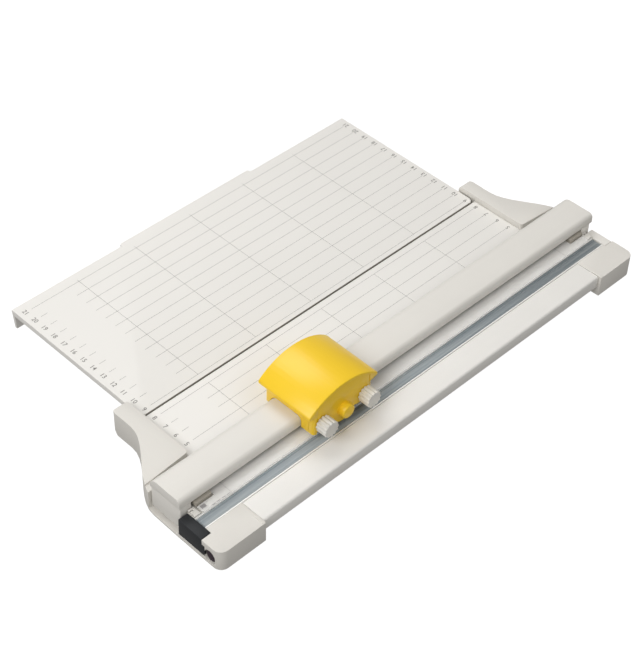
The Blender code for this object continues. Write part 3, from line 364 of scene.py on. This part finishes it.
def dress_nodes():
    """Gives every node of the frame its look, and rounds its sharp edges."""
    for part in frame["record"]["subparts"]:
        node = frame["nodes"][part["node"]]
        node.data.materials.clear()
        node.data.materials.append(NODE_LOOKS.get(node.name, LOOKS[part["material_slot"]]))
        weld = node.modifiers.new("weld", "WELD")
        weld.merge_threshold = WELD_DISTANCE
        flatten = node.modifiers.new("flatten", "DECIMATE")
        flatten.decimate_type = "DISSOLVE"
        flatten.angle_limit = radians(FLAT_ANGLE)
        width = ROUNDING.get(node.name)
        if width:
            rounding = node.modifiers.new("rounding", "BEVEL")
            rounding.width = width
            rounding.segments = 3
            rounding.limit_method = "ANGLE"
            rounding.angle_limit = radians(SHARP_ANGLE)
        smooth(node)
    frame["nodes"]["paper_clamp_strip"].visible_shadow = False      # it is clear, and shades nothing


def smooth(node):
    """Shades a node smooth, with its sharp edges kept."""
    for polygon in node.data.polygons:
        polygon.use_smooth = True
    node.data.set_sharp_from_angle(angle=radians(SMOOTH_ANGLE))


# Each spring's joint, the axis it is pressed along, and its end that stays put: 0 is the low one.
PRESSED_SPRINGS = {
    "rail_spring_front": ("rail_press", (0, 0, 1), 0),
    "rail_spring_rear": ("rail_press", (0, 0, 1), 0),
    "lock_spring": ("lock_press", (0, 1, 0), 1),
}


def springs():
    """Copies of the coils as meshes of their own, riding on the base, in place of the rigid ones."""
    graph = bpy.context.evaluated_depsgraph_get()
    for name, (joint, axis, fixed_end) in PRESSED_SPRINGS.items():
        mesh = bpy.data.meshes.new_from_object(frame["nodes"][name].evaluated_get(graph))
        coil = bpy.data.objects.new(name + "_coil", mesh)
        bpy.context.scene.collection.objects.link(coil)
        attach(coil, "base")
        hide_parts(name)
        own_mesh(coil)


# The printed ruler --------------------------------------------------------------------------------
INK_THICKNESS = 0.03 * MM
LINE_WIDTH = 0.19 * MM
CM = 10 * MM
DIGIT_HEIGHT = 0.70                          # of a font of size 1
NUMBER_HEIGHT = 3.3 * MM
NUMBER_BOLD = 0.03 * MM
NUMBER_EDGE = {-1: 3.9 * MM, 1: 3.1 * MM}    # to a number's foot from the bed's front and rear edge
LINE_FRONT = -BED_HALF + 10.3 * MM
LINE_REAR = -BED_HALF + 301.1 * MM
BROKEN_LINES = (6, 7, *range(10, 21))        # these stop after a tick, and go on behind a blank
TICK = 5.5 * MM
BLANK_END = LINE_FRONT + 30 * MM
CROSS_LINES = 5
CROSS_PITCH = 5 * CM

# The marks on the clear strip. Across is from its right edge, and along is from its front end.
SQUARE_ACROSS = (4.9 * MM, 2.3 * MM)
SQUARE_ALONG = (0.9 * MM, 4.6 * MM)
# The dashes are painted shade: dark marks for the shaded slits along the strip's edge.
DASHES = 4
DASH_ACROSS = (0.9 * MM, 0.4 * MM)
DASH_START = 7 * MM
DASH_LENGTH = 2.6 * MM
DASH_PITCH = 4 * MM
END_LINES = (-BED_HALF - 2.5 * MM, BED_HALF - 1.0 * MM)
END_LINE_WIDTH = 0.25 * MM
END_LINE_INSET = 1 * MM


def line_box(bm, x, y, z):
    """A thin raised line between two corners."""
    made = bmesh.ops.create_cube(bm, size=1.0)
    size = Vector((x[1] - x[0], y[1] - y[0], INK_THICKNESS))
    middle = Vector((sum(x) / 2, sum(y) / 2, z + INK_THICKNESS / 2))
    bmesh.ops.scale(bm, vec=size, verts=made["verts"])
    bmesh.ops.translate(bm, vec=middle, verts=made["verts"])


def number_mesh(number, place, turned):
    """The number as a flat mesh, its foot centred at place."""
    curve = bpy.data.curves.new("number", "FONT")
    curve.body = str(number)
    curve.align_x = "CENTER"
    curve.size = NUMBER_HEIGHT / DIGIT_HEIGHT
    curve.extrude = INK_THICKNESS / 2
    curve.offset = NUMBER_BOLD
    curve.resolution_u = 3
    text = bpy.data.objects.new("number", curve)
    bpy.context.scene.collection.objects.link(text)
    mesh = bpy.data.meshes.new_from_object(text.evaluated_get(bpy.context.evaluated_depsgraph_get()))
    bpy.data.objects.remove(text)
    turn = Matrix.Rotation(pi if turned else 0, 4, "Z")
    mesh.transform(Matrix.Translation(place) @ turn)
    return mesh


def piece_from(bm, name, look, body):
    """Makes a bmesh a piece that rides on a body."""
    mesh = bpy.data.meshes.new(name)
    bm.to_mesh(mesh)
    bm.free()
    mesh.materials.append(look)
    piece = bpy.data.objects.new(name, mesh)
    bpy.context.scene.collection.objects.link(piece)
    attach(piece, body)


def strip_marks():
    """The grey square on the clear strip's front end, the dashes along its edge in painted shade, and
    its end lines.
    """
    low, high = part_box("paper_clamp_strip")
    square = bmesh.new()
    across = [high.x - edge for edge in SQUARE_ACROSS]
    line_box(square, across, [low.y + edge for edge in SQUARE_ALONG], high.z)
    piece_from(square, "strip_square", FAINT, "rail")
    # Painted shade: the dashes stand for shaded slits along the strip's edge.
    dashes = bmesh.new()
    across = [high.x - edge for edge in DASH_ACROSS]
    for step in range(DASHES):
        start = low.y + DASH_START + step * DASH_PITCH
        line_box(dashes, across, (start, start + DASH_LENGTH), high.z)
    for y in END_LINES:
        line_box(dashes, (low.x + END_LINE_INSET, across[1]), (y, y + END_LINE_WIDTH), high.z)
    piece_from(dashes, "strip_dashes", FAINT, "rail")


def printing(name, body, first, last, left, right):
    """One surface's ruled lines and numbers, first down to last, and its cross lines, left to right."""
    bm = bmesh.new()
    z = TABLE_TOP
    for number in range(last, first + 1):
        x = CUT_X - number * CM
        across = (x - LINE_WIDTH / 2, x + LINE_WIDTH / 2)
        if number in BROKEN_LINES:
            line_box(bm, across, (LINE_FRONT, LINE_FRONT + TICK), z)
            line_box(bm, across, (BLANK_END, LINE_REAR), z)
        else:
            line_box(bm, across, (LINE_FRONT, LINE_REAR), z)
    for step in range(1, CROSS_LINES + 1):
        y = -BED_HALF + step * CROSS_PITCH
        line_box(bm, (left, right), (y - LINE_WIDTH / 2, y + LINE_WIDTH / 2), z)
    for number in range(last, first + 1):
        x = CUT_X - number * CM
        for side, edge in NUMBER_EDGE.items():
            place = Vector((x, side * (BED_HALF - edge), z + INK_THICKNESS / 2))
            bm.from_mesh(number_mesh(number, place, side > 0))
    piece_from(bm, name, INK, body)


# Studio -------------------------------------------------------------------------------------------
CAMERA_TURN = (44.28, 43.92, 1.81)           # azimuth, elevation and roll, in degrees
CAMERA_PLACE = (0.5964, -0.6004, 0.7980)
LENS = 93.84
LIGHT_SIZE = 5.4
LIGHT_DISTANCE = 9
WORLD_LIGHT = 0.31
FLOOR_SIZE = 12


def camera():
    """The camera of the main view."""
    azimuth, elevation, roll = (radians(angle) for angle in CAMERA_TURN)
    back = Vector((sin(azimuth) * cos(elevation), -cos(azimuth) * cos(elevation), sin(elevation)))
    level = Vector((cos(azimuth), sin(azimuth), 0))
    upright = back.cross(level)
    right = level * cos(roll) + upright * sin(roll)
    up = upright * cos(roll) - level * sin(roll)
    data = bpy.data.cameras.new("camera")
    data.lens = LENS
    data.sensor_width = 36
    data.clip_end = 20
    made = bpy.data.objects.new("camera", data)
    bpy.context.scene.collection.objects.link(made)
    turn = Matrix((right, up, back)).transposed().to_4x4()
    made.matrix_world = Matrix.Translation(Vector(CAMERA_PLACE)) @ turn
    bpy.context.scene.camera = made


def area_light(name, direction, power):
    """A large soft square panel, far enough away to light the whole object evenly."""
    data = bpy.data.lights.new(name, "AREA")
    data.shape = "SQUARE"
    data.size = LIGHT_SIZE
    data.energy = power
    made = bpy.data.objects.new(name, data)
    bpy.context.scene.collection.objects.link(made)
    made.location = Vector(direction).normalized() * LIGHT_DISTANCE
    made.rotation_mode = "QUATERNION"
    made.rotation_quaternion = Vector(direction).to_track_quat("Z", "Y")


def soft_world():
    """Even light from all round, and a white backdrop where the camera sees past the floor."""
    world = bpy.data.worlds.new("world")
    bpy.context.scene.world = world
    world.use_nodes = True
    nodes, links = world.node_tree.nodes, world.node_tree.links
    light = nodes["Background"]
    light.inputs["Color"].default_value = (1.0, 0.99, 0.975, 1)
    light.inputs["Strength"].default_value = WORLD_LIGHT
    backdrop = nodes.new("ShaderNodeBackground")
    backdrop.inputs["Color"].default_value = (1, 1, 1, 1)
    seen = nodes.new("ShaderNodeMixShader")
    links.new(nodes.new("ShaderNodeLightPath").outputs["Is Camera Ray"], seen.inputs["Fac"])
    links.new(light.outputs["Background"], seen.inputs[1])
    links.new(backdrop.outputs["Background"], seen.inputs[2])
    links.new(seen.outputs["Shader"], nodes["World Output"].inputs["Surface"])


def studio():
    """The lights, and a white floor that takes the object's shadow."""
    soft_world()
    area_light("key", (-0.60, 0.15, 0.80), 290)
    area_light("front", (0.0, -0.85, 0.80), 395)
    area_light("right", (0.75, 0.10, 0.85), 120)
    bm = bmesh.new()
    bmesh.ops.create_grid(bm, x_segments=1, y_segments=1, size=FLOOR_SIZE)
    mesh = bpy.data.meshes.new("floor")
    bm.to_mesh(mesh)
    bm.free()
    floor = bpy.data.objects.new("floor", mesh)
    bpy.context.scene.collection.objects.link(floor)
    floor.location.z = -0.2 * MM
    floor.visible_diffuse = False
    floor.visible_glossy = False
    paper = Nodes("floor_look")
    paper.set(Roughness=0.9, Emission_Color=(1, 1, 1, 1), Emission_Strength=1.0)
    tone = paper.blend(paper.noise(400 * MM), (0.07, 0.07, 0.07), (0.09, 0.09, 0.09))
    mesh.materials.append(paper.finish(tone))
    bpy.context.scene.view_settings.view_transform = "Standard"


dress_nodes()
printing("printed_extension", "extension", 21, 9, CUT_X - 212 * MM, CUT_X - 90 * MM)
printing("printed_table", "base", 8, 5, CUT_X - 80 * MM, CUT_X - 38 * MM)
strip_marks()
springs()
camera()
studio()
